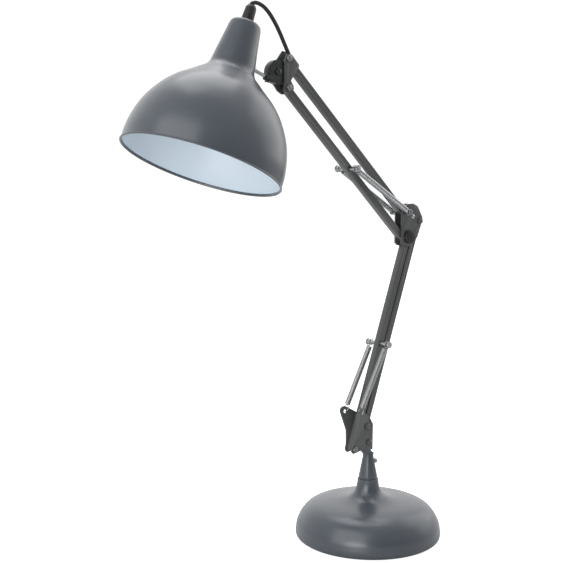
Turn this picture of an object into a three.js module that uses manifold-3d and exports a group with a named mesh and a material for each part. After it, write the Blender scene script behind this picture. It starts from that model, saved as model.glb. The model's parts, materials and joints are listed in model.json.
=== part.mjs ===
// Architect desk lamp: weighted base, swivelling stem, two parallelogram arms with springs,
// tilting knuckle and bell shade. Millimetres, +Z up, origin at the middle of the base underside.
// The arms lie in the XZ plane and the shade hangs toward -X.
import * as THREE from "three";
import { mergeVertices } from "three/addons/utils/BufferGeometryUtils.js";
import Module from "manifold-3d";

// Driving dimensions
const BASE_R = 100;
const NECK_TOP_Z = 81.8;
const CONE_TOP_Z = 116.5;
const TUBE = 9;
const TUBE_WALL = 1;
const PLATE_IN = TUBE / 2 + 0.4;
const PLATE_T = 2.4;
const PLATE_OUT = PLATE_IN + PLATE_T;
const BOLT_R = 1.8;
const SPRING_BOLT_R = 2.6;
const PIN_R = 3;
const SPRING_Y = 14.8;
const SPRING_R = 4;
const WIRE_R = 0.7;
const CORD_R = 2.5;
const SHADE_R = 98.6;
const SHADE_WALL = 1.2;
const SHADE_NECK_TOP = 182.5;
const SOCKET_R = 13.3;
const GAP = 0.3;

// Pivots in the XZ plane
const LOWER_LENGTH = 295;
const UPPER_LENGTH = 282;
const LOWER_LEAN = THREE.MathUtils.degToRad(19.4);
const UPPER_LEAN = THREE.MathUtils.degToRad(-46.9);
const A1 = [-31.1, 127.7];
const A2 = [-8.9, 156.5];
const EAR = [-30.6, 177];
const TANG = [-5.5, 134];
const B1 = along(A1, LOWER_LEAN, LOWER_LENGTH);
const B2 = [B1[0] + A2[0] - A1[0], B1[1] + A2[1] - A1[1]];
const C1 = [B1[0] - 7.7, B1[1] + 5.9];
const C2 = [C1[0], C1[1] + 35.4];
const D1 = along(C1, UPPER_LEAN, UPPER_LENGTH);
const D2 = [D1[0], D1[1] + 35.4];
const TILT = [D1[0] - 14.8, D1[1] + 18.5];
const DISC_R = 14.8;
const LOWER_PIN_S = 148.5;
const UPPER_PIN_S = 138;

// Shade frame: centre of the opening and the lean of the shade axis toward +X
const SHADE_LEAN = THREE.MathUtils.degToRad(21.5);
const SHADE_O = [D1[0] - 127.2, D1[1] - 96.6];
const STUD_T = 136.2;

const wasm = await Module();
wasm.setup();

function along(p, lean, s) {
  return [p[0] + s * Math.sin(lean), p[1] + s * Math.cos(lean)];
}

// Makes a closed solid from a three.js geometry, facing outward.
function solid(geometry) {
  const bare = geometry.clone();
  bare.deleteAttribute("normal");
  bare.deleteAttribute("uv");
  const merged = mergeVertices(bare, 1e-4);
  const index = merged.index.array;
  const keep = [];
  for (let i = 0; i < index.length; i += 3) {
    const [a, b, c] = [index[i], index[i + 1], index[i + 2]];
    if (a !== b && b !== c && c !== a) keep.push(a, b, c);
  }
  const build = (tris) =>
    new wasm.Manifold(
      new wasm.Mesh({
        numProp: 3,
        vertProperties: merged.attributes.position.array,
        triVerts: new Uint32Array(tris),
      }),
    );
  const made = build(keep);
  if (made.volume() > 0) return made;
  const turned = [];
  for (let i = 0; i < keep.length; i += 3) turned.push(keep[i], keep[i + 2], keep[i + 1]);
  return build(turned);
}

function geometryOf(made) {
  const m = made.getMesh();
  const v = new Float32Array(m.numVert * 3);
  for (let i = 0; i < m.numVert; i++) {
    v.set(m.vertProperties.subarray(i * m.numProp, i * m.numProp + 3), i * 3);
  }
  const g = new THREE.BufferGeometry();
  g.setAttribute("position", new THREE.BufferAttribute(v, 3));
  g.setIndex(new THREE.BufferAttribute(m.triVerts, 1));
  g.computeVertexNormals();
  return g;
}

const add = (...geoms) => geometryOf(geoms.map(solid).reduce((a, b) => a.add(b)));
const cut = (body, ...tools) =>
  geometryOf(tools.map(solid).reduce((a, b) => a.subtract(b), solid(body)));

// A solid of revolution about +Z from [radius, z] points.
function turned(points, segments) {
  const g = new THREE.LatheGeometry(
    points.map(([r, z]) => new THREE.Vector2(r, z)),
    segments,
  );
  return g.rotateX(Math.PI / 2);
}

// The same about the Y axis at [x, z]; local z points to -Y.
function turnedY(points, segments, at, side = 1) {
  const g = turned(points, segments).rotateX((side * Math.PI) / 2);
  return g.translate(at[0], 0, at[1]);
}

// A plate from an [x, z] outline between two y levels, with round holes [x, z, r].
function plate(outline, y0, y1, holes = []) {
  const shape = new THREE.Shape(outline.map(([x, z]) => new THREE.Vector2(x, z)));
  for (const [x, z, r] of holes) {
    const hole = new THREE.Path();
    hole.absarc(x, z, r, 0, 2 * Math.PI, true);
    shape.holes.push(hole);
  }
  const g = new THREE.ExtrudeGeometry(shape, {
    depth: y1 - y0,
    bevelEnabled: false,
    curveSegments: 6,
  });
  return g.rotateX(Math.PI / 2).translate(0, y1, 0);
}

function rodY(at, r, half, segments = 12) {
  const g = new THREE.CylinderGeometry(r, r, 2 * half, segments);
  return g.translate(at[0], 0, at[1]);
}

function arc(cx, cz, r, from, to, steps) {
  const points = [];
  for (let i = 0; i <= steps; i++) {
    const a = from + ((to - from) * i) / steps;
    points.push([cx + r * Math.cos(a), cz + r * Math.sin(a)]);
  }
  return points;
}

const lamp = new THREE.Group();
lamp.name = "architect_desk_lamp";

const PAINT = { color: 0x5a6068, roughness: 0.35, metalness: 0.2 };
const STEEL = { color: 0xc4c6c8, roughness: 0.25, metalness: 1 };
const IRON = { color: 0x3a3a3c, roughness: 0.8, metalness: 0.6 };
const BLACK = { color: 0x141416, roughness: 0.5, metalness: 0 };
const FELT = { color: 0x1c2220, roughness: 0.95, metalness: 0 };
const WHITE = { color: 0xe8edf4, roughness: 0.4, metalness: 0 };
const BRASS = { color: 0xc09a4a, roughness: 0.35, metalness: 1 };

function put(name, geometry, look) {
  const mesh = new THREE.Mesh(geometryOf(solid(geometry)), new THREE.MeshStandardMaterial(look));
  mesh.name = name;
  lamp.add(mesh);
  return mesh;
}

// Base: felt pad, steel plate, iron weight and the spun cover with its neck
put("base_pad", turned([[0, 0], [90, 0], [90, 1.5], [0, 1.5]], 32), FELT);
put("base_plate", turned([[8, 1.8], [92.5, 1.8], [92.5, 3.3], [8, 3.3], [8, 1.8]], 32), STEEL);
put(
  "base_weight",
  turned([[10, 3.6], [84, 3.6], [84, 19.6], [80, 21.6], [10, 21.6], [10, 3.6]], 28),
  IRON,
);
const coverOuter = [
  [BASE_R - 5, 1], [BASE_R - 1, 3.4], [BASE_R, 8], [BASE_R - 0.6, 14.5], [BASE_R - 2, 21.5],
  [BASE_R - 7, 31.5], [BASE_R - 14, 40.2], [BASE_R - 24, 46.3], [64, 49.5], [52, 51.2], [40, 52.7],
  [28, 55.5], [21, 60], [17, 66], [15, 74], [14.5, NECK_TOP_Z],
];
const coverInner = [
  [9.3, NECK_TOP_Z], [9.3, 70], [15.3, 65.3], [19.5, 58.9], [27.4, 54], [39.8, 51.2], [51.9, 49.7],
  [63.7, 48], [BASE_R - 24.6, 44.9], [BASE_R - 15, 39], [BASE_R - 8.3, 30.6], [BASE_R - 3.5, 21],
  [BASE_R - 2.1, 14.4], [BASE_R - 1.5, 8], [BASE_R - 2.4, 4], [BASE_R - 5.8, 2.2],
];
const GROMMET_Z = 12;
const coverShell = turned([...coverOuter, ...coverInner, coverOuter[0]], 30);
const cableHole = new THREE.CylinderGeometry(4.4, 4.4, 16, 16).rotateZ(Math.PI / 2);
cableHole.translate(BASE_R - 2, 0, GROMMET_Z);
put("base_cover", cut(coverShell, cableHole), PAINT);
const grommetRing = turned(
  [[2.8, -3.4], [5.4, -3.4], [5.4, -2], [4.1, -2], [4.1, 2.2], [6, 2.2], [6, 3.8], [2.8, 3.8], [2.8, -3.4]],
  18,
);
grommetRing.rotateY(Math.PI / 2).translate(BASE_R - 1.8, 0, GROMMET_Z);
put("cable_grommet", grommetRing, BLACK);
put(
  "neck_bush",
  turned(
    [[6.3, 64], [12, 64], [12, 66.2], [9, 69.7], [9, 81.6], [6.3, 81.6], [6.3, 64]],
    28,
  ),
  BRASS,
);

// Stem: hollow spindle with its nut, cone with a flat tang, and the set screw
put(
  "spindle",
  turned([[2.9, 46], [6, 46], [6, 96], [2.9, 96], [2.9, 46]], 28),
  STEEL,
);
put("spindle_nut", turned([[7.3, 57], [11, 57], [11, 63.6], [7.3, 63.6], [7.3, 57]], 6), STEEL);
const coneBody = turned(
  [[6.3, 82.2], [12.8, 82.2], [12.8, 85], [6.65, CONE_TOP_Z], [2.9, CONE_TOP_Z], [2.9, 96.4],
    [6.3, 96.4], [6.3, 82.2]],
  32,
);
const tangTrim = new THREE.CylinderGeometry(2.9, 2.9, 16, 16).rotateX(Math.PI / 2);
tangTrim.translate(0, 0, 108);
const screwHole = new THREE.CylinderGeometry(1.8, 1.8, 12, 14).rotateZ(Math.PI / 2);
screwHole.translate(8.5, 0, 104);
const tangFoot = plate([[-6.2, 113], [6.2, 113], [6.2, 118], [-6.2, 118]], -TUBE / 2, TUBE / 2);
const tang = plate(
  [[-6.2, 116], [6.2, 116], [0.6, 122], [0.6, 140], [-2.5, 145], [-9, 145], [-12, 140], [-12, 122]],
  -TUBE / 2,
  TUBE / 2,
  [[...TANG, BOLT_R + GAP]],
);
put("stem_cone", cut(add(coneBody, tangFoot, tang), tangTrim, screwHole), PAINT);
const screw = turned([[0, 3.4], [1.5, 3.4], [1.5, 10.4], [3.6, 10.4], [3.6, 14.6], [2.8, 15.4], [0, 15.4]], 16);
screw.rotateY(Math.PI / 2).translate(0, 0, 104);
put("stem_screw", screw, STEEL);

// Stem bracket: two flat cheeks, each folded along a slant so that its ear leans outward.
// The ears hold the lower springs.
const FOLD_FROM = [-36, 131];
const FOLD_TO = [-6, 168];
const EAR_R = 6.8;
const foldLength = Math.hypot(FOLD_TO[0] - FOLD_FROM[0], FOLD_TO[1] - FOLD_FROM[1]);
const FOLD_OUT = [(FOLD_FROM[1] - FOLD_TO[1]) / foldLength, (FOLD_TO[0] - FOLD_FROM[0]) / foldLength];
const pastFold = ([x, z]) => (x - FOLD_FROM[0]) * FOLD_OUT[0] + (z - FOLD_FROM[1]) * FOLD_OUT[1];
const LEAN_OUT = (SPRING_Y - (PLATE_IN + PLATE_OUT) / 2) / pastFold(EAR);
const cheekFlat = [
  [-36.8, 125], [-34.1, 122.4], [-15, 125.6], [1.6, 123], [2, 158.6], [-4.6, 169.2], FOLD_TO,
  FOLD_FROM, [-37.4, 128.6],
];
const cheekWing = [
  FOLD_FROM, FOLD_TO, [-4.6, 169.2], ...arc(EAR[0], EAR[1], EAR_R, 0.75, 3.15, 8), [-32.6, 152],
  [-34.6, 138],
];

function stemCheek(side) {
  const flat = plate(cheekFlat, PLATE_IN, PLATE_OUT, [
    [...A1, BOLT_R + GAP],
    [...A2, BOLT_R + GAP],
    [...TANG, BOLT_R + GAP],
  ]);
  const wing = plate(cheekWing, PLATE_IN, PLATE_OUT, [[...EAR, 2.6]]);
  const lean = new THREE.Matrix4();
  lean.elements[1] = LEAN_OUT * FOLD_OUT[0];
  lean.elements[9] = LEAN_OUT * FOLD_OUT[1];
  lean.elements[13] = -LEAN_OUT * (FOLD_OUT[0] * FOLD_FROM[0] + FOLD_OUT[1] * FOLD_FROM[1]);
  return add(flat, wing.applyMatrix4(lean)).scale(1, side, 1);
}
put("stem_cheek_near", stemCheek(-1), PAINT);
put("stem_cheek_far", stemCheek(1), PAINT);

// Bolts with a domed head on the near side and a hexagon nut on the far side
function bolt(name, at, look = STEEL) {
  const head = PLATE_OUT + GAP;
  put(
    "bolt_" + name,
    turnedY(
      [
        [0, -11.4], [BOLT_R, -11.4], [BOLT_R, head], [4.2, head], [4.2, head + 1.2], [3.1, head + 2.3],
        [0, head + 2.7],
      ],
      12,
      at,
    ),
    look,
  );
}
function nut(name, at) {
  const low = -PLATE_OUT - GAP;
  const bore = BOLT_R + 2 * GAP;
  const r = bore + 1.7;
  put(
    "nut_" + name,
    turnedY([[bore, low], [r, low], [r, low - 2.8], [bore, low - 2.8], [bore, low]], 6, at),
    STEEL,
  );
}
for (const [name, at] of [["tang", TANG], ["a1", A1], ["a2", A2], ["b2", B2], ["d1", D1], ["d2", D2]]) {
  bolt(name, at);
  nut(name, at);
}

// Square arm tubes with rounded ends, hollow from end to end
function armTube(length, start, lean, crossAt, holeR, slotAt) {
  const w = TUBE / 2;
  const outline = [...arc(0, length, w, 0, Math.PI, 6), ...arc(0, 0, w, Math.PI, 2 * Math.PI, 6)];
  const tools = [
    new THREE.BoxGeometry(TUBE - 2 * TUBE_WALL, TUBE - 2 * TUBE_WALL, length + 30).translate(0, 0, length / 2),
    rodY([0, 0], holeR, TUBE),
    rodY([0, length], BOLT_R + GAP, TUBE),
  ];
  if (crossAt) tools.push(rodY([0, crossAt], PIN_R + GAP, TUBE));
  if (slotAt) tools.push(new THREE.BoxGeometry(TUBE, 5.8, 15).translate(w, 0, slotAt));
  const g = cut(plate(outline, -w, w), ...tools);
  return g.rotateY(lean).translate(start[0], 0, start[1]);
}
put("lower_tube_front", armTube(LOWER_LENGTH, A1, LOWER_LEAN, LOWER_PIN_S, BOLT_R + GAP), PAINT);
put("lower_tube_rear", armTube(LOWER_LENGTH, A2, LOWER_LEAN, 0, BOLT_R + GAP), PAINT);
put("upper_tube_lower", armTube(UPPER_LENGTH, C1, UPPER_LEAN, UPPER_PIN_S, BOLT_R + GAP), PAINT);
put(
  "upper_tube_upper",
  armTube(UPPER_LENGTH, C2, UPPER_LEAN, 0, SPRING_BOLT_R + GAP, UPPER_LENGTH - 9),
  PAINT,
);

// Cross pins that carry the outer ends of the springs
function crossPin(name, at, half) {
  const profile = [
    [0, -half], [4.4, -half], [4.8, -half + 1.2], [PIN_R, -half + 1.8], [PIN_R, half - 1.8],
    [4.8, half - 1.2], [4.4, half], [0, half],
  ];
  put(name, turnedY(profile, 20, at), STEEL);
}
const P = along(A1, LOWER_LEAN, LOWER_PIN_S);
const Q = along(C1, UPPER_LEAN, UPPER_PIN_S);
crossPin("lower_pin", P, 21.7);
crossPin("upper_pin", Q, 21.3);

// Elbow: two plates, a riveted spacer, the long spring bolt and a black cap over the lower bolts' ends
const elbowOutline = [
  [B1[0] - 13.6, B1[1] - 1.2], [B1[0] - 9.6, B1[1] - 4.8], [B1[0] - 1.8, B1[1] - 6.2],
  [B1[0] + 5.6, B1[1] - 5.4], [B1[0] + 10.6, B1[1] - 2.4], [B1[0] + 18.2, B1[1] + 7.6],
  [B1[0] + 27.6, B1[1] + 30.6], [B1[0] + 26.6, B1[1] + 34.4], [B1[0] + 17.8, B1[1] + 48.9],
  [B1[0] + 9, B1[1] + 52.8], [B1[0] - 2, B1[1] + 52.4], [B1[0] - 13.2, B1[1] + 45.4],
];
const CAP = [B1[0] + 0.2, B1[1] + 6.9];
const RIVET = [B1[0] + 8, B1[1] + 35];
const elbowHoles = [
  [...B1, BOLT_R + GAP], [...B2, BOLT_R + GAP], [...C1, BOLT_R + GAP],
  [...C2, SPRING_BOLT_R + GAP], [...RIVET, BOLT_R + GAP],
];
const capHole = [...CAP, BOLT_R + GAP];
put("elbow_plate_near", plate(elbowOutline, -PLATE_OUT, -PLATE_IN, [...elbowHoles, capHole]), PAINT);
put("elbow_plate_far", plate(elbowOutline, PLATE_IN, PLATE_OUT, elbowHoles), PAINT);
const rivetEnd = PLATE_OUT + GAP;
put(
  "elbow_spacer",
  turnedY(
    [
      [0, -rivetEnd - 1.2], [3.2, -rivetEnd - 0.4], [3.2, -rivetEnd], [BOLT_R, -rivetEnd],
      [BOLT_R, -4.6], [4, -4.6], [4, 4.6], [BOLT_R, 4.6], [BOLT_R, rivetEnd], [3.2, rivetEnd],
      [3.2, rivetEnd + 0.4], [0, rivetEnd + 1.2],
    ],
    16,
    RIVET,
  ),
  STEEL,
);
for (const [name, at] of [["bolt_b1", B1], ["bolt_c1", C1]]) {
  const shoulder = PLATE_OUT + GAP;
  const profile = [
    [0, -PLATE_OUT], [BOLT_R, -PLATE_OUT], [BOLT_R, shoulder], [4.2, shoulder], [4.2, shoulder + 1.2],
    [3.1, shoulder + 2.3], [0, shoulder + 2.7],
  ];
  put(name, turnedY(profile, 12, at, -1), STEEL);
}
put(
  "elbow_cap",
  turnedY(
    [
      [0, 4.9], [BOLT_R, 4.9], [BOLT_R, PLATE_OUT + GAP], [8.7, PLATE_OUT + GAP], [9.3, 8.3],
      [9.3, 11], [8.4, 12], [0, 12.8],
    ],
    24,
    CAP,
  ),
  BLACK,
);
put(
  "spring_bolt",
  turnedY(
    [
      [0, -19.4], [3.8, -19.2], [4.3, -18.2], [SPRING_BOLT_R, -17.6], [SPRING_BOLT_R, 17.6],
      [4.3, 18.2], [3.8, 19.2], [0, 19.4],
    ],
    18,
    C2,
  ),
  STEEL,
);

// A closed-coil tension spring between two points, with an eye round a pin at one or both ends
function spring(name, from, to, side, eyeFrom, eyeTo) {
  const dx = to[0] - from[0];
  const dz = to[1] - from[1];
  const length = Math.hypot(dx, dz);
  const start = eyeFrom.reach;
  const end = length - eyeTo.reach;
  const turns = 10;
  const profile = [[SPRING_R - 2 * WIRE_R, start]];
  for (let i = 0; i < turns; i++) {
    const z = start + ((end - start) * i) / turns;
    profile.push([SPRING_R - WIRE_R / 2, z]);
    profile.push([SPRING_R, z + (end - start) / (2 * turns)]);
  }
  profile.push([SPRING_R - WIRE_R / 2, end]);
  profile.push([SPRING_R - 2 * WIRE_R, end]);
  profile.push([SPRING_R - 2 * WIRE_R, start]);
  const parts = [turned(profile, 8)];
  for (const [eye, z, way] of [[eyeFrom, 0, 1], [eyeTo, length, -1]]) {
    const torus = new THREE.TorusGeometry(eye.r, WIRE_R, 5, 12);
    if (eye.across) torus.rotateY(Math.PI / 2).translate(0, 0, z + way * eye.r);
    else torus.rotateX(Math.PI / 2).translate(0, 0, z);
    const reach = eye.across ? 2 * eye.r : eye.r;
    const bar = new THREE.CylinderGeometry(WIRE_R, WIRE_R, eye.reach - reach + 1.4, 6).rotateX(Math.PI / 2);
    bar.translate(0, 0, z + (way * (eye.reach + reach)) / 2 + way * 0.7);
    const tieZ = z + way * (eye.reach + 0.7);
    const tie = new THREE.BoxGeometry(2 * SPRING_R - 1.6, 1.6, 1.4).translate(0, 0, tieZ);
    parts.push(torus, bar, tie);
  }
  const g = add(...parts).rotateY(Math.atan2(dx, dz)).translate(from[0], side * SPRING_Y, from[1]);
  put(name, g, STEEL);
}
const pinEye = { r: PIN_R + WIRE_R + 0.4, reach: 6.4 };
const boltEye = { r: SPRING_BOLT_R + WIRE_R + 0.4, reach: 5.8 };
const earEye = { r: 4.5, reach: 9.9, across: true };
for (const [label, side] of [["near", -1], ["far", 1]]) {
  spring("lower_spring_" + label, P, EAR, side, pinEye, earEye);
  spring("upper_spring_" + label, Q, C2, side, pinEye, boltEye);
}

// Head bracket: two cheeks, the far one with a round lobe that backs the tilting disc
const headOutline = [
  ...arc(D1[0], D1[1], 7.6, -2.75, 0.35, 9), [D1[0] + 3, D1[1] + 8.7], [D1[0] + 16.2, D1[1] + 26.6],
  [D1[0] + 15.6, D1[1] + 29.4], [D1[0] + 4.6, D1[1] + 40.4], [D1[0] - 2.4, D1[1] + 40.9],
  [D1[0] - 7.2, D1[1] + 33],
];
const headHoles = [[...D1, BOLT_R + GAP], [...D2, BOLT_R + GAP]];
put("head_cheek_near", plate(headOutline, -PLATE_OUT, -PLATE_IN, headHoles), PAINT);
const farOutline = [
  ...arc(D1[0], D1[1], 7.6, -1.9, 0.35, 7), [D1[0] + 3, D1[1] + 8.7], [D1[0] + 16.2, D1[1] + 26.6],
  [D1[0] + 15.6, D1[1] + 29.4], [D1[0] + 5.4, D1[1] + 45], [D1[0] - 0.6, D1[1] + 45.8],
  [D1[0] - 6.8, D1[1] + 38], [D1[0] - 12, D1[1] + 31], [D1[0] - 20, D1[1] + 7], [D1[0] - 13.8, D1[1] + 3],
  [D1[0] - 8.6, D1[1] - 3.6],
];
const lobe = plate(arc(TILT[0], TILT[1], 13.6, 0, 2 * Math.PI * (31 / 32), 31), PLATE_IN, PLATE_OUT);
put(
  "head_cheek_far",
  cut(
    add(plate(farOutline, PLATE_IN, PLATE_OUT), lobe),
    rodY(TILT, BOLT_R + GAP, 12),
    rodY(D1, BOLT_R + GAP, 12),
    rodY(D2, BOLT_R + GAP, 12),
  ),
  PAINT,
);
put(
  "tilt_bolt",
  turnedY(
    [[0, -11.4], [BOLT_R, -11.4], [BOLT_R, 4.8], [4.4, 4.8], [4.4, 6.2], [3.2, 7.3], [0, 7.6]],
    16,
    TILT,
  ),
  BLACK,
);
nut("tilt", TILT);

// Shade frame helpers: u is across the axis toward the arm, t is along it from the opening
function shadePoint(u, t) {
  const c = Math.cos(SHADE_LEAN);
  const s = Math.sin(SHADE_LEAN);
  return [SHADE_O[0] + u * c + t * s, SHADE_O[1] - u * s + t * c];
}
function onShade(geometry) {
  return geometry.rotateY(SHADE_LEAN).translate(SHADE_O[0], 0, SHADE_O[1]);
}

// Knuckle: a disc that tilts on its bolt, with a boss that takes the shade stud
const disc = plate(arc(TILT[0], TILT[1], DISC_R, 0, 2 * Math.PI * (35 / 36), 35), -TUBE / 2, TUBE / 2);
const neckPlate = plate(
  [shadePoint(53, STUD_T + 5), shadePoint(53, STUD_T - 5), shadePoint(63, STUD_T - 2.4), TILT],
  -TUBE / 2,
  TUBE / 2,
);
const boss = new THREE.CylinderGeometry(4.6, 4.6, 5, 24).rotateZ(Math.PI / 2).translate(51, 0, STUD_T);
const studHole = new THREE.CylinderGeometry(2.7, 2.7, 14, 16)
  .rotateZ(Math.PI / 2)
  .translate(53, 0, STUD_T);
put(
  "knuckle",
  cut(add(disc, neckPlate, onShade(boss)), rodY(TILT, BOLT_R + GAP, 12), onShade(studHole)),
  BLACK,
);

// Shade: spun bell with a rolled rim and a neck, on a threaded stud between two nuts
const bell = [
  [0, SHADE_R - 0.6], [18, 97.8], [30, 95.8], [42, 92.8], [54, 88.4], [66, 82], [78, 74],
  [90, 63.3], [100, 51.2], [110, 39.4], [117, 31.6], [123, 28.1], [130, 26.9], [150, 23.8],
  [170, 20.9], [178, 19.9], [181.4, 18.6], [SHADE_NECK_TOP, 16.4],
];
const outer = bell.map(([t, r]) => [r, t]);
const inner = bell
  .slice(1, -2)
  .map(([t, r]) => [r - SHADE_WALL, t - (t > 60 && t < 118 ? 0.7 : 0)])
  .reverse();
const rim = [
  [SHADE_R - 2, 1.6], [SHADE_R - 2, -0.6], [SHADE_R - 0.9, -1.3], [SHADE_R + 0.3, -0.6],
  [SHADE_R + 0.4, 0.6],
];
const shadeShell = turned(
  [...outer, [5.4, SHADE_NECK_TOP], [5.4, SHADE_NECK_TOP - SHADE_WALL], [16, SHADE_NECK_TOP - SHADE_WALL],
    ...inner, ...rim, outer[0]],
  28,
);
const wallHole = new THREE.CylinderGeometry(2.7, 2.7, 12, 16).rotateZ(Math.PI / 2).translate(25, 0, STUD_T);
put("shade", onShade(cut(shadeShell, wallHole)), PAINT);
put(
  "shade_stud",
  onShade(
    turned([[0, 18.8], [2.1, 18.8], [2.4, 19.2], [2.4, 58], [2.1, 58.6], [0, 58.6]], 16)
      .rotateY(Math.PI / 2)
      .translate(0, 0, STUD_T),
  ),
  STEEL,
);
for (const [name, low, high] of [["inner", 19.8, 22.4], ["outer", 27.6, 30.4]]) {
  const hex = turned([[3.2, low], [5.2, low], [5.2, high], [3.2, high], [3.2, low]], 6);
  put("stud_nut_" + name, onShade(hex.rotateY(Math.PI / 2).translate(0, 0, STUD_T)), STEEL);
}

// Lampholder on its nipple, centre contact, locking nut and cord grip
const holder = turned(
  [
    [SOCKET_R, 122], [15, 122], [15.6, 123], [15.6, 150], [14.4, 152], [14.4, 168], [12, 174],
    [8, 180.6], [5, 180.6], [5, 188.6], [2.9, 188.6], [2.9, 162], [6.8, 162], [6.8, 157.5],
    [SOCKET_R, 157.5], [SOCKET_R, 122],
  ],
  32,
);
put("lampholder", onShade(holder), BLACK);
put("holder_contact", onShade(turned([[0, 158.6], [6.4, 158.6], [6.4, 160.6], [0, 160.6]], 24)), BRASS);
put(
  "nipple_nut",
  onShade(turned([[5.9, 182.8], [7.6, 182.8], [7.6, 184.3], [5.9, 184.3], [5.9, 182.8]], 6)),
  STEEL,
);
put(
  "cord_grip",
  onShade(
    turned(
      [
        [5.3, 184.6], [7.7, 184.6], [6.8, 202.4], [5.7, 203.4], [5.1, 205.4], [3.6, 205.4], [2.8, 201],
        [2.8, 189.4], [5.3, 189.4], [5.3, 184.6],
      ],
      24,
    ),
  ),
  BLACK,
);

// Flex: the loop from the cord grip over to the slot in the upper tube, and two inner runs
const loopPoints = [
  shadePoint(0, 196), shadePoint(0, 205), [D1[0] - 52.6, D1[1] + 96.2], [D1[0] - 46.6, D1[1] + 98.6],
  [D1[0] - 37, D1[1] + 96.6], [D1[0] - 27.6, D1[1] + 90.4], [D1[0] - 18.6, D1[1] + 80.4],
  [D1[0] - 9, D1[1] + 66.4], [D1[0] - 1, D1[1] + 52.2], [D1[0] + 5.2, D1[1] + 41.4],
  [D1[0] + 8.4, D1[1] + 34.2], [D1[0] + 11.2, D1[1] + 28.4],
];
function flex(name, points, steps, sides) {
  const places = points.map(([x, z]) => new THREE.Vector3(x, 0, z));
  const curve = new THREE.CatmullRomCurve3(places, false, "centripetal");
  const shape = new THREE.Shape();
  shape.absarc(0, 0, CORD_R, 0, 2 * Math.PI, false);
  const sweep = { steps, extrudePath: curve, bevelEnabled: false, curveSegments: sides };
  const g = new THREE.ExtrudeGeometry(shape, sweep);
  put(name, g, BLACK);
}
flex("flex_loop", loopPoints, 30, 4);
flex("flex_upper_run", [along(C2, UPPER_LEAN, 8), along(C2, UPPER_LEAN, UPPER_LENGTH - 19)], 1, 4);
flex("flex_lower_run", [along(A2, LOWER_LEAN, 6), along(A2, LOWER_LEAN, LOWER_LENGTH - 6)], 1, 4);

export default lamp;
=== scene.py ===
"""Architect desk lamp, put together from the base up: weighted base, stem, sprung arms, head and shade."""

import json
import math

import bpy
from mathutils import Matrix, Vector


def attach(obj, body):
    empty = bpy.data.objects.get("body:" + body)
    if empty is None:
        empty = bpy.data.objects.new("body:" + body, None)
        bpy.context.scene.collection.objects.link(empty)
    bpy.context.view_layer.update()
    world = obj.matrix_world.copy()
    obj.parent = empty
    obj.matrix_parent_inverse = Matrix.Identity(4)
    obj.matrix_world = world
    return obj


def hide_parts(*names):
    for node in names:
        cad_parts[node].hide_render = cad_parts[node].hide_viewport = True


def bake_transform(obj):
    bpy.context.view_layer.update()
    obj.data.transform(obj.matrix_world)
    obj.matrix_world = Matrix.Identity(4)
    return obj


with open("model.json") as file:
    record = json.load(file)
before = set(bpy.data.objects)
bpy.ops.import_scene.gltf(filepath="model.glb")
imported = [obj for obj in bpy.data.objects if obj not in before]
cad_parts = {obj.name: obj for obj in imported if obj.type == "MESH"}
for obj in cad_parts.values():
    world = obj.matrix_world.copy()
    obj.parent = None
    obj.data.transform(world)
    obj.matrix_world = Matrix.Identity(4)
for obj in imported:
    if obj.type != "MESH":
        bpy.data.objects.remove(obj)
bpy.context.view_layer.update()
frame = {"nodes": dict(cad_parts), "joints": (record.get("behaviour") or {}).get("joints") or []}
bpy.ops.object.select_all(action="DESELECT")
JOINT = {joint["name"]: joint for joint in frame["joints"]}


def pivot(joint_name):
    """The place of a joint in the frame, in metres."""
    return Vector(JOINT[joint_name].get("pos_m", (0, 0, 0)))


# Camera, floor and lights. A long lens stands to the left of the arms, a little above the elbow.
# The floor glows white for the camera only, and broad soft lights stand around the lamp.
CAMERA_PLACE = (-0.93704, -0.97847, 0.48924)
CAMERA_TURN = math.radians(38.70)
CAMERA_DIP = math.radians(5.71)
CAMERA_LENS = 63.94
FLOOR_PAINT = (0.62, 0.62, 0.62, 1)
WHITE = (1, 1, 1, 1)
FLOOR_GLOW = 0.9
BRIGHT_SIDE = (0.56, 0.70, 0.45)
DARK_SIDE_REACH = -0.7
ROOM_DARKEST = 0.12
ROOM_BRIGHTEST = 1.15
bpy.ops.object.camera_add(
    location=CAMERA_PLACE, rotation=(math.pi / 2 - CAMERA_DIP, 0, -CAMERA_TURN)
)
camera = bpy.context.object
camera.data.sensor_width = 36
camera.data.lens = CAMERA_LENS
camera.data.clip_start = 0.05
bpy.context.scene.camera = camera

bpy.ops.mesh.primitive_plane_add(size=14, location=(0, 0, -0.0005))
floor = bpy.context.object
floor.name = "floor"
floor_paint = bpy.data.materials.new("white_floor")
floor_paint.use_nodes = True
floor_shader = floor_paint.node_tree.nodes["Principled BSDF"]
floor_shader.inputs["Base Color"].default_value = FLOOR_PAINT
floor_shader.inputs["Roughness"].default_value = 0.8
floor_shader.inputs["Emission Color"].default_value = WHITE
floor_ray = floor_paint.node_tree.nodes.new("ShaderNodeLightPath")
floor_glow = floor_paint.node_tree.nodes.new("ShaderNodeMath")
floor_glow.operation = "MULTIPLY"
floor_glow.inputs[1].default_value = FLOOR_GLOW
floor_paint.node_tree.links.new(floor_ray.outputs["Is Camera Ray"], floor_glow.inputs[0])
floor_paint.node_tree.links.new(floor_glow.outputs["Value"], floor_shader.inputs["Emission Strength"])
floor.data.materials.append(floor_paint)

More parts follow.
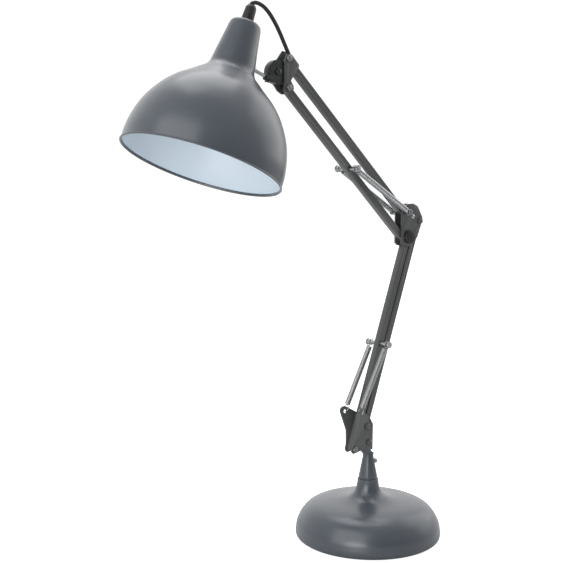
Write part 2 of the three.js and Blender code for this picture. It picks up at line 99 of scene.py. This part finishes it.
# The camera sees a white backdrop. Everything else is lit by a room that is bright behind the
# lamp and dark behind the camera, so that the enamel is dark in front and pale at its edges.
sky = bpy.data.worlds.new("studio")
sky.use_nodes = True
sky_nodes = sky.node_tree.nodes
backdrop = sky_nodes["Background"]
direction = sky_nodes.new("ShaderNodeTexCoord")
facing = sky_nodes.new("ShaderNodeVectorMath")
facing.operation = "DOT_PRODUCT"
facing.inputs[1].default_value = BRIGHT_SIDE
falloff = sky_nodes.new("ShaderNodeMapRange")
falloff.inputs["From Min"].default_value = DARK_SIDE_REACH
falloff.inputs["From Max"].default_value = 1.0
falloff.inputs["To Min"].default_value = ROOM_DARKEST
falloff.inputs["To Max"].default_value = ROOM_BRIGHTEST
ray = sky_nodes.new("ShaderNodeLightPath")
seen = sky_nodes.new("ShaderNodeMath")
seen.operation = "MAXIMUM"
for source, target in [
    (direction.outputs["Generated"], facing.inputs[0]),
    (facing.outputs["Value"], falloff.inputs["Value"]),
    (falloff.outputs["Result"], seen.inputs[0]),
    (ray.outputs["Is Camera Ray"], seen.inputs[1]),
    (seen.outputs["Value"], backdrop.inputs["Strength"]),
]:
    sky.node_tree.links.new(source, target)
backdrop.inputs["Color"].default_value = WHITE
bpy.context.scene.world = sky
bpy.context.scene.view_settings.view_transform = "Standard"


def softbox(name, place, aim, size, watts):
    """A square studio lamp that looks at a point."""
    bpy.ops.object.light_add(type="AREA", location=place)
    lamp = bpy.context.object
    lamp.name = name
    lamp.data.shape = "SQUARE"
    lamp.data.size = size
    lamp.data.energy = watts
    lamp.rotation_euler = (Vector(aim) - Vector(place)).to_track_quat("-Z", "Y").to_euler()


softbox("key_light", (-2.4, -0.6, 1.4), (-0.1, 0, 0.3), 2.6, 38)
softbox("right_light", (2.0, -0.4, 1.4), (0, 0, 0.3), 2.0, 10)
softbox("top_light", (0.3, 0.6, 2.4), (0, 0, 0.3), 1.6, 16)
softbox("low_light", (-1.8, -1.0, 0.35), (-0.25, 0, 0.55), 1.1, 13)


# Finishes are built from a material's nodes. Value wraps one output so that sums and products
# of outputs can be written as plain expressions.
class Value:
    """A quantity that changes over a surface: one output of a finish's nodes."""

    def __init__(self, finish, socket):
        self.finish = finish
        self.socket = socket

    def maths(self, operation, left, right):
        return self.finish.node("ShaderNodeMath", {"operation": operation}, {0: left, 1: right})

    def __add__(self, other):
        return self.maths("ADD", self, other)

    def __mul__(self, other):
        return self.maths("MULTIPLY", self, other)

    __radd__ = __add__
    __rmul__ = __mul__


class Finish:
    """A material with one principled shader, whose fixed values are set on its own sockets."""

    def __init__(self, name, slot, fixed):
        self.material = bpy.data.materials.new(name)
        self.slot = slot
        self.material.use_nodes = True
        self.tree = self.material.node_tree
        self.shader = self.tree.nodes["Principled BSDF"]
        for socket, value in fixed.items():
            self.shader.inputs[socket].default_value = value
        self.place = self.node("ShaderNodeTexCoord", {}, {}, "Object")

    def node(self, kind, settings, inputs, output=0):
        """Adds a node: its settings first, then a value or a link for each socket named."""
        made = self.tree.nodes.new(kind)
        for key, value in settings.items():
            if key == "stops":
                for stop, (position, colour) in zip(made.color_ramp.elements, value):
                    stop.position = position
                    stop.color = (*colour, 1)
            else:
                setattr(made, key, value)
        for socket, value in inputs.items():
            if isinstance(value, Value):
                self.tree.links.new(value.socket, made.inputs[socket])
            else:
                made.inputs[socket].default_value = value
        return Value(self, made.outputs[output])

    def noise(self, scale, detail=2.0, stretch=None):
        """Cloudy variation on the piece's own coordinates; stretch gives it a grain."""
        place = self.place
        if stretch:
            place = self.node("ShaderNodeMapping", {}, {"Vector": place, "Scale": stretch})
        return self.node("ShaderNodeTexNoise", {}, {"Vector": place, "Scale": scale, "Detail": detail})

    def blend(self, amount, dark, light):
        """Goes from one colour to another with an amount from 0 to 1."""
        settings = {"stops": [(0.3, dark), (0.7, light)]}
        return self.node("ShaderNodeValToRGB", settings, {"Fac": amount})

    def bump(self, height, distance, strength=1.0):
        inputs = {"Height": height, "Distance": distance, "Strength": strength}
        self.feed("Normal", self.node("ShaderNodeBump", {}, inputs))

    def feed(self, socket, value):
        self.tree.links.new(value.socket, self.shader.inputs[socket])


def sprayed_enamel(name, slot, dark, light, roughness, coat):
    """Stove enamel: an even colour that clouds very slightly, a fine orange-peel skin and a gloss coat."""
    finish = Finish(name, slot, {"Coat Weight": coat, "Coat Roughness": 0.26, "IOR": 1.5})
    finish.feed("Base Color", finish.blend(finish.noise(14, 3), dark, light))
    finish.feed("Roughness", roughness + 0.10 * finish.noise(60, 4))
    finish.bump(finish.noise(900, 2), 0.00012, 0.35)
    return finish


def drawn_metal(name, slot, dark, light, roughness, grain):
    """Bare metal with fine drawing lines along the grain."""
    finish = Finish(name, slot, {"Metallic": 1.0})
    lines = finish.noise(500, 3, grain)
    finish.feed("Base Color", finish.blend(lines, dark, light))
    finish.feed("Roughness", roughness + 0.14 * lines)
    finish.bump(lines, 0.00006, 0.4)
    return finish


def moulded(name, slot, dark, light, roughness, grain_size, depth):
    """Rubber, plastic or cast metal with an even skin texture."""
    finish = Finish(name, slot, {"Specular IOR Level": 0.4})
    skin = finish.noise(grain_size, 5)
    finish.feed("Base Color", finish.blend(skin, dark, light))
    finish.feed("Roughness", roughness + 0.15 * skin)
    finish.bump(skin, depth, 0.5)
    return finish


SLATE = ((0.052, 0.062, 0.076), (0.060, 0.071, 0.087))
slate_enamel = sprayed_enamel("slate_enamel", "grey_paint", *SLATE, 0.26, 0.45)
shade_enamel = sprayed_enamel("shade_enamel", "shade_paint", *SLATE, 0.26, 0.45)
arm_enamel = sprayed_enamel(
    "arm_enamel", "grey_paint", (0.056, 0.059, 0.058), (0.070, 0.073, 0.071), 0.30, 0.35
)
white_enamel = sprayed_enamel(
    "white_enamel", "shade_paint", (0.66, 0.74, 0.81), (0.70, 0.78, 0.85), 0.36, 0.2
)
bright_steel = drawn_metal(
    "bright_steel", "bright_steel", (0.38, 0.39, 0.40), (0.50, 0.51, 0.52), 0.24, (1, 6, 1)
)
dull_steel = drawn_metal(
    "dull_steel", "bright_steel", (0.20, 0.205, 0.215), (0.28, 0.285, 0.295), 0.36, (1, 1, 1)
)
turned_brass = drawn_metal(
    "turned_brass", "brass", (0.62, 0.45, 0.19), (0.74, 0.56, 0.27), 0.22, (1, 1, 8)
)
black_enamel = sprayed_enamel(
    "black_enamel", "black_metal", (0.009, 0.010, 0.011), (0.015, 0.016, 0.018), 0.32, 0.2
)
black_rubber = moulded(
    "black_rubber", "black_rubber", (0.010, 0.010, 0.012), (0.018, 0.018, 0.020), 0.42, 700, 0.00010
)
black_plastic = moulded(
    "black_plastic", "black_plastic", (0.012, 0.012, 0.014), (0.020, 0.020, 0.022), 0.30, 500, 0.00008
)
sand_cast_iron = moulded(
    "sand_cast_iron", "iron", (0.035, 0.035, 0.038), (0.075, 0.072, 0.070), 0.62, 220, 0.0005
)
pressed_felt = moulded(
    "pressed_felt", "felt", (0.012, 0.016, 0.014), (0.030, 0.036, 0.032), 0.85, 800, 0.0004
)


def dress(piece, finish, body):
    """Gives a finished piece its material and fixes it to a body."""
    piece.data.materials.clear()
    piece.data.materials.append(finish.material)
    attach(piece, body)
    return piece


def paint_frame_piece(node, finish):
    """A frame piece that keeps its own mesh gets its real finish."""
    piece = frame["nodes"][node]
    piece.data.materials.clear()
    piece.data.materials.append(finish.material)


# Flex: 5 mm black round cable that comes out of the cord grip, loops over the head joint and
# drops into the slot of the upper tube. It is in two halves, which meet over the tilting knuckle.
FLEX_DIAMETER = 0.005
STUD_HEIGHT = 0.1362
STUD_ROOT = 0.051
across = Vector(JOINT["shade_swivel"]["axis"])
upward = Vector((-across.z, 0, across.x))
shade_mouth = pivot("shade_swivel") - STUD_ROOT * across - STUD_HEIGHT * upward
head = pivot("head_level")


def shade_point(u, t):
    """A point of the shade's own frame: u toward the arm, t up its axis from the mouth."""
    return shade_mouth + u * across + t * upward


def smooth_line(points, steps):
    """A centripetal curve through the points, with the same number of steps in each span."""
    points = [Vector(p) for p in points]
    ends = [2 * points[0] - points[1]] + points + [2 * points[-1] - points[-2]]
    line = []
    for p0, p1, p2, p3 in zip(ends, ends[1:], ends[2:], ends[3:]):
        d1 = (p1 - p0).length ** 0.5
        d2 = (p2 - p1).length ** 0.5
        d3 = (p3 - p2).length ** 0.5
        m1 = (p1 - p0) / d1 - (p2 - p0) / (d1 + d2) + (p2 - p1) / d2
        m2 = (p2 - p1) / d2 - (p3 - p1) / (d2 + d3) + (p3 - p2) / d3
        for i in range(steps):
            s = i / steps
            hermite = (2 * s**3 - 3 * s**2 + 1) * p1 + (s**3 - 2 * s**2 + s) * m1 * d2
            line.append(hermite + (3 * s**2 - 2 * s**3) * p2 + (s**3 - s**2) * m2 * d2)
    line.append(points[-1])
    return line


flex_turns = [shade_point(0, 0.196), shade_point(0, 0.205)] + [
    head + Vector((x, 0, z))
    for x, z in [
        (-0.0526, 0.0962), (-0.0466, 0.0986), (-0.0370, 0.0966), (-0.0276, 0.0904),
        (-0.0186, 0.0804), (-0.0090, 0.0664), (-0.0010, 0.0522), (0.0052, 0.0414),
        (0.0084, 0.0342), (0.0112, 0.0284),
    ]
]
flex_line = smooth_line(flex_turns, 4)
flex_middle = 26  # the point of the line that is over the knuckle


def cable(name, line, diameter):
    """A round cable along a line, closed at its ends."""
    track = bpy.data.curves.new(name, "CURVE")
    track.dimensions = "3D"
    track.bevel_depth = diameter / 2
    track.bevel_resolution = 5
    track.use_fill_caps = True
    spline = track.splines.new("POLY")
    spline.points.add(len(line) - 1)
    for point, place in zip(spline.points, line):
        point.co = (*place, 1)
    piece = bpy.data.objects.new(name, track)
    bpy.context.scene.collection.objects.link(piece)
    bpy.ops.object.select_all(action="DESELECT")
    piece.select_set(True)
    bpy.context.view_layer.objects.active = piece
    bpy.ops.object.convert(target="MESH")
    bpy.ops.object.shade_smooth()
    return bpy.context.object


def line_length(line):
    return sum((b - a).length for a, b in zip(line, line[1:]))


for name, part, bodies in [
    ("flex_over_shade", flex_line[: flex_middle + 1], ("shade", "knuckle")),
    ("flex_into_arm", flex_line[flex_middle:], ("knuckle", "head")),
]:
    flex = cable(name, part, FLEX_DIAMETER)
    flex.data.materials.append(black_rubber.material)
    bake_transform(flex)
    line_length(part)
    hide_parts("flex_loop")
for hidden_run in ("flex_lower_run", "flex_upper_run"):
    paint_frame_piece(hidden_run, black_rubber)


# Base: a felt pad, a steel plate and a cast weight under a spun cover. The cover is turned from
# one sheet, drawn up at the middle into the neck that holds the brass bush of the spindle.
SEGMENTS = 96
WELD = 2e-6
paint_frame_piece("base_pad", pressed_felt)
paint_frame_piece("base_plate", bright_steel)
paint_frame_piece("base_weight", sand_cast_iron)
paint_frame_piece("neck_bush", turned_brass)


def turn_on_lathe(name, profile, segments=SEGMENTS):
    """Pulls a ring through a closed profile of (radius, height) points, as on a lathe."""
    first_radius, first_height = profile[0]
    bpy.ops.object.select_all(action="DESELECT")
    bpy.ops.mesh.primitive_circle_add(
        vertices=segments, radius=first_radius, location=(0, 0, first_height)
    )
    piece = bpy.context.object
    piece.name = name
    bpy.ops.object.transform_apply()
    bpy.ops.object.mode_set(mode="EDIT")
    bpy.ops.mesh.select_all(action="SELECT")
    for (r0, z0), (r1, z1) in zip(profile, profile[1:]):
        bpy.ops.mesh.extrude_edges_move(TRANSFORM_OT_translate={"value": (0, 0, z1 - z0)})
        bpy.ops.transform.resize(value=(r1 / r0, r1 / r0, 1), center_override=(0, 0, z1))
    bpy.ops.mesh.select_all(action="SELECT")
    bpy.ops.mesh.remove_doubles(threshold=WELD)
    bpy.ops.mesh.normals_make_consistent(inside=False)
    bpy.ops.object.mode_set(mode="OBJECT")
    bpy.ops.object.shade_smooth_by_angle(angle=math.radians(40))
    return piece


def millimetres(points):
    return [(r / 1000, z / 1000) for r, z in points]


def eased(profile, steps):
    """Rounds an open profile through its points."""
    return [(p.x, p.z) for p in smooth_line([(r, 0, z) for r, z in profile], steps)]


cover_outside = millimetres([
    (96, 1.0), (99, 3.4), (100, 8), (99.4, 14.5), (98, 21.5), (93, 31.5), (86, 40.2), (76, 46.3),
    (64, 49.5), (52, 51.2), (40, 52.7), (28, 55.5), (21, 60), (17, 66), (15, 74), (14.4, 81.2),
])
cover_inside = millimetres([
    (9.3, 81.8), (9.3, 70), (15.3, 65.3), (19.5, 58.9), (27.4, 54), (39.8, 51.2), (51.9, 49.7),
    (63.7, 48), (75.4, 44.9), (85, 39), (91.7, 30.6), (96.5, 21), (97.9, 14.4), (98.5, 8), (95, 1.0),
])
cover_profile = eased(cover_outside, 4) + [(0.0138, 0.0818)] + cover_inside
cover = turn_on_lathe("base_shell", cover_profile + [cover_profile[0]])


def bore(piece, radius, depth, place, turn):
    """Cuts a round hole with a cylinder at a place."""
    bpy.ops.object.select_all(action="DESELECT")
    bpy.ops.mesh.primitive_cylinder_add(
        vertices=32, radius=radius, depth=depth, location=place, rotation=turn
    )
    drill = bpy.context.object
    cut = piece.modifiers.new("hole", "BOOLEAN")
    cut.operation = "DIFFERENCE"
    cut.object = drill
    cut.solver = "EXACT"
    bpy.context.view_layer.objects.active = piece
    bpy.ops.object.modifier_apply(modifier="hole")
    bpy.data.objects.remove(drill)


SIDEWAYS = (0, math.pi / 2, 0)
GROMMET_HOLE_RADIUS = 0.0044
GROMMET_HOLE_DEPTH = 0.016
GROMMET_PLACE = (0.098, 0, 0.012)
bore(cover, GROMMET_HOLE_RADIUS, GROMMET_HOLE_DEPTH, GROMMET_PLACE, SIDEWAYS)
dress(cover, slate_enamel, "base")
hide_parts("base_cover")


def refined(node, body, finish, edge=0.0004, steps=2, smooth=40):
    """Copies a frame piece, welds it, clears its flat faces of inner edges and rounds its corners."""
    bpy.ops.object.select_all(action="DESELECT")
    source = frame["nodes"][node]
    piece = bpy.data.objects.new(node + "_made", source.data.copy())
    bpy.context.scene.collection.objects.link(piece)
    piece.select_set(True)
    bpy.context.view_layer.objects.active = piece
    bpy.ops.object.mode_set(mode="EDIT")
    bpy.ops.mesh.select_all(action="SELECT")
    bpy.ops.mesh.remove_doubles(threshold=WELD)
    bpy.ops.mesh.dissolve_limited(angle_limit=math.radians(0.5))
    bpy.ops.object.mode_set(mode="OBJECT")
    rounding = piece.modifiers.new("rounding", "BEVEL")
    rounding.width = edge
    rounding.segments = steps
    rounding.limit_method = "ANGLE"
    rounding.angle_limit = math.radians(smooth)
    bpy.ops.object.modifier_apply(modifier="rounding")
    bpy.ops.object.shade_smooth_by_angle(angle=math.radians(smooth))
    dress(piece, finish, body)
    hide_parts(node)
    return piece


refined("cable_grommet", "base", black_rubber, 0.0005)


# Stem: the cone turns on a hollow spindle in the neck. Its set screw is bright steel, and its
# flat tang is bolted between the two cheeks of the lower bracket.
for node in ("spindle", "spindle_nut", "stem_screw"):
    refined(node, "stem", bright_steel, 0.0002)
refined("stem_cone", "stem", slate_enamel, 0.0005, 3, 30)
for node in ("stem_cheek_near", "stem_cheek_far"):
    refined(node, "stem", arm_enamel, 0.0006, 3)


# Arms: four square steel tubes with their ends rounded about the pivot bolts, in an enamel a
# little warmer than the base's. The two driven tubes carry a bright cross pin for the springs.
for node, body in [
    ("lower_tube_front", "lower_front_arm"), ("lower_tube_rear", "lower_rear_arm"),
    ("upper_tube_lower", "upper_lower_arm"), ("upper_tube_upper", "upper_upper_arm"),
]:
    refined(node, body, arm_enamel, 0.0004, 2)
refined("lower_pin", "lower_front_arm", bright_steel, 0.0003)
refined("upper_pin", "upper_lower_arm", bright_steel, 0.0003)


# Bolts and nuts: dull or painted steel, domed on the near side with a hexagon nut on the far side.
# The tilt bolt is black. The elbow's two lower bolts go in from the far side, and a black cap
# stands on the near plate beside their ends.
for name, body, head_finish in [
    ("tang", "stem", arm_enamel), ("a1", "stem", dull_steel), ("a2", "stem", arm_enamel),
    ("b2", "elbow", arm_enamel), ("d1", "head", dull_steel), ("d2", "head", dull_steel),
]:
    refined("bolt_" + name, body, head_finish, 0.0003)
    refined("nut_" + name, body, bright_steel, 0.0003)
refined("nut_tilt", "head", bright_steel, 0.0003)
refined("tilt_bolt", "knuckle", black_enamel, 0.0003)
refined("bolt_b1", "elbow", bright_steel, 0.0003)
refined("bolt_c1", "elbow", bright_steel, 0.0003)
refined("elbow_cap", "elbow", black_plastic, 0.0005, 3)
refined("spring_bolt", "elbow", dull_steel, 0.0003)
refined("elbow_spacer", "elbow", bright_steel, 0.0002)


# Elbow and head brackets: flat enamelled plates on each side of the tubes. The black knuckle
# tilts beside the far head plate.
for node in ("elbow_plate_near", "elbow_plate_far"):
    refined(node, "elbow", arm_enamel, 0.0006, 3)
for node in ("head_cheek_near", "head_cheek_far"):
    refined(node, "head", arm_enamel, 0.0006, 3)
refined("knuckle", "knuckle", black_enamel, 0.0007, 3)


# Springs: closed coils of bright wire with an eye at each end. The lower pair pulls the driven
# tube's pin down to the ears of the stem bracket. The upper pair hangs on the long elbow bolt and
# turns with the upper tube; its hooks stay on the upper pin and are drawn out of the coils.
WIRE = 0.0006
COIL = 0.0034
PITCH = 0.00135
SPRING_SIDE = 0.0148
PIN_REACH = 0.0064
BOLT_REACH = 0.0058
EAR_REACH = 0.0099
LOWER_PIN_ALONG = 0.1485
UPPER_PIN_ALONG = 0.138
PIN_EYE = 0.0041
EAR_EYE = 0.0045
BOLT_EYE = 0.0037
HOOK_LENGTH = 0.052
EAR_HOLE = Vector((-0.0306, 0, 0.177))


def hang_wire(parts, start, span, side):
    """Joins upright pieces of one wire and lays them along a span, beside the arms."""
    bpy.ops.object.select_all(action="DESELECT")
    for part in parts:
        part.select_set(True)
    wire = parts[0]
    bpy.context.view_layer.objects.active = wire
    bpy.ops.object.join()
    wire.rotation_euler = (0, math.atan2(span.x, span.z), 0)
    wire.location = (start[0], side * SPRING_SIDE, start[2])
    bpy.ops.object.transform_apply()
    bpy.ops.object.shade_smooth()
    wire.data.materials.clear()
    wire.data.materials.append(bright_steel.material)
    return wire


def coil_spring(name, start, end, side, start_eye, end_eye, end_reach, end_across, hook=0):
    """One tension spring from start to end, with round eyes about the pins it hangs on. A hook of
    some length is a wire of its own that runs up the coil, so that it can be drawn out."""
    span = Vector(end) - Vector(start)
    length = span.length
    coiled = length - PIN_REACH - end_reach
    turns = int(coiled / PITCH)
    bpy.ops.object.select_all(action="DESELECT")
    bpy.ops.mesh.primitive_circle_add(
        vertices=8, radius=WIRE, location=(COIL, 0, PIN_REACH), rotation=(math.pi / 2, 0, 0)
    )
    coil = bpy.context.object
    coil.name = name
    bpy.ops.object.transform_apply()
    winding = coil.modifiers.new("winding", "SCREW")
    winding.axis = "Z"
    winding.angle = 2 * math.pi
    winding.screw_offset = coiled / turns
    winding.iterations = turns
    winding.steps = 16
    winding.render_steps = 16
    bpy.ops.object.modifier_apply(modifier="winding")
    bpy.ops.object.mode_set(mode="EDIT")
    bpy.ops.mesh.select_all(action="SELECT")
    bpy.ops.mesh.remove_doubles(threshold=1e-6)
    bpy.ops.mesh.fill_holes(sides=0)
    bpy.ops.mesh.select_all(action="SELECT")
    bpy.ops.mesh.normals_make_consistent(inside=False)
    bpy.ops.object.mode_set(mode="OBJECT")
    parts = [coil]
    drawn = []
    for radius, place, way, reach, crosswise in [
        (start_eye, 0, 1, PIN_REACH, False), (end_eye, length, -1, end_reach, end_across),
    ]:
        centre = place + way * radius if crosswise else place
        turn = (0, math.pi / 2, 0) if crosswise else (math.pi / 2, 0, 0)
        bpy.ops.mesh.primitive_torus_add(
            major_radius=radius, minor_radius=WIRE, major_segments=32, minor_segments=8,
            location=(0, 0, centre), rotation=turn,
        )
        eye = bpy.context.object
        bpy.ops.object.transform_apply()
        near = 2 * radius if crosswise else radius
        if hook and place == 0:
            rod = [Vector((0, 0, near)), Vector((0, 0, hook))]
            drawn = [eye, cable(name + "_hook", rod, 2 * WIRE)]
            continue
        neck = [
            Vector((0, 0, place + way * near)),
            Vector((0, 0, place + way * (near + (reach - near) * 0.55))),
            Vector((COIL * 0.5, 0, place + way * (near + (reach - near) * 0.85))),
            Vector((COIL, 0, place + way * reach)),
        ]
        parts += [eye, cable(name + "_neck", smooth_line(neck, 4), 2 * WIRE)]
    return [hang_wire(wires, start, span, side) for wires in (parts, drawn) if wires]


def toward(start, end, distance):
    return start + (end - start).normalized() * distance


lower_pin = toward(pivot("lower_arm_lean"), pivot("elbow_level"), LOWER_PIN_ALONG)
upper_pin = toward(pivot("upper_arm_lean"), pivot("head_level"), UPPER_PIN_ALONG)
elbow_bolt = pivot("upper_upper_link")
for label, side in (("near", -1), ("far", 1)):
    lower_line = (lower_pin, EAR_HOLE, side, PIN_EYE, EAR_EYE, EAR_REACH, True)
    (lower,) = coil_spring("lower_coil_" + label, *lower_line)
    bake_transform(lower)
    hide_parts("lower_spring_" + label)
    upper_line = (upper_pin, elbow_bolt, side, PIN_EYE, BOLT_EYE, BOLT_REACH, False, HOOK_LENGTH)
    upper, hook = coil_spring("upper_coil_" + label, *upper_line)
    hook.name = "upper_hook_" + label
    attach(upper, "upper_upper_arm")
    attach(hook, "upper_lower_arm")
    for wire in (upper, hook):
        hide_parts("upper_spring_" + label)


# Shade: a spun bell with a rolled rim and a long neck, slate outside and white inside, on a
# bright stud that turns in the knuckle.
def set_on_shade_axis(piece):
    """Leans an upright piece onto the shade's axis."""
    bpy.ops.object.select_all(action="DESELECT")
    piece.select_set(True)
    bpy.context.view_layer.objects.active = piece
    piece.rotation_euler = (0, math.atan2(upward.x, upward.z), 0)
    piece.location = shade_mouth
    bpy.ops.object.transform_apply()
    return piece


SHADE_WALL = 0.0012
RIM_TOP = 0.0016
STUD_HOLE_RADIUS = 0.0027
STUD_HOLE_DEPTH = 0.012
STUD_HOLE_OUT = 0.025
bell_outside = eased(millimetres([
    (98.0, 0.4), (98.2, 8), (97.8, 18), (95.9, 30), (92.9, 42), (88.4, 54), (82, 66), (74, 78), (63.3, 90),
    (51.2, 100), (39.4, 110), (31.6, 117), (28.1, 123), (26.8, 130), (25.4, 140), (23.8, 150), (22.3, 160),
    (20.8, 170), (19.8, 176), (18.6, 179.8), (16.4, 181.9), (12, 182.5),
]), 3)


def inner_wall(profile, wall):
    """The same profile, one wall thickness inside."""
    points = [Vector(p) for p in profile]
    inside = []
    for before, here, after in zip(points, points[1:], points[2:]):
        along = (after - before).normalized()
        inside.append(tuple(here + wall * Vector((-along.y, along.x))))
    return inside


bell_inside = inner_wall(bell_outside, SHADE_WALL)
top_hole = millimetres([(5.4, 182.5), (5.4, 181.3), (12, 181.3)])
rolled_rim = millimetres([(96.6, 1.6), (96.4, -0.3), (97.2, -1.5), (98.6, -1.6), (99.3, -0.6), (98.9, 0.4)])
bell_profile = bell_outside + top_hole + bell_inside[::-1] + rolled_rim
bell = turn_on_lathe("bell_shade", bell_profile + [bell_profile[0]])
bell.data.materials.append(shade_enamel.material)
bell.data.materials.append(white_enamel.material)
for face in bell.data.polygons:
    radius = math.hypot(face.center.x, face.center.y)
    inward = face.normal.x * face.center.x + face.normal.y * face.center.y < -1e-6
    face.material_index = 1 if (inward or face.normal.z < -0.9) and face.center.z > RIM_TOP else 0
bore(bell, STUD_HOLE_RADIUS, STUD_HOLE_DEPTH, (STUD_HOLE_OUT, 0, STUD_HEIGHT), SIDEWAYS)
set_on_shade_axis(bell)
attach(bell, "shade")
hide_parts("shade")

for node in ("shade_stud", "stud_nut_inner", "stud_nut_outer", "nipple_nut"):
    refined(node, "shade", bright_steel, 0.0002)


# Lampholder and cord grip: black moulded parts on one threaded nipple, with a brass contact.
holder_profile = millimetres([
    (13.3, 122.4), (13.7, 122), (15, 122), (15.6, 122.8), (15.6, 126), (15.1, 126.6), (15.6, 127.2),
    (15.6, 150), (14.4, 152), (14.4, 168), (12, 174), (8, 180.2), (5, 180.6), (5, 188.6), (2.9, 188.6),
    (2.9, 162), (6.8, 162), (6.8, 157.5), (13.3, 157.5),
])
holder = set_on_shade_axis(turn_on_lathe("bulb_holder", holder_profile + [holder_profile[0]], 64))
dress(holder, black_plastic, "shade")
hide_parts("lampholder")
refined("holder_contact", "shade", turned_brass, 0.0002)

grip_profile = millimetres([
    (5.3, 184.6), (7.3, 184.6), (7.7, 185.1), (7.6, 188), (6.85, 201.6), (6.5, 202.6), (5.7, 203.4),
    (5.3, 204.6), (4.9, 205.3), (3.6, 205.4), (2.8, 201), (2.8, 189.4), (5.3, 189.4),
])
grip = set_on_shade_axis(turn_on_lathe("cord_sleeve", grip_profile + [grip_profile[0]], 48))
dress(grip, black_plastic, "shade")
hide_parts("cord_grip")
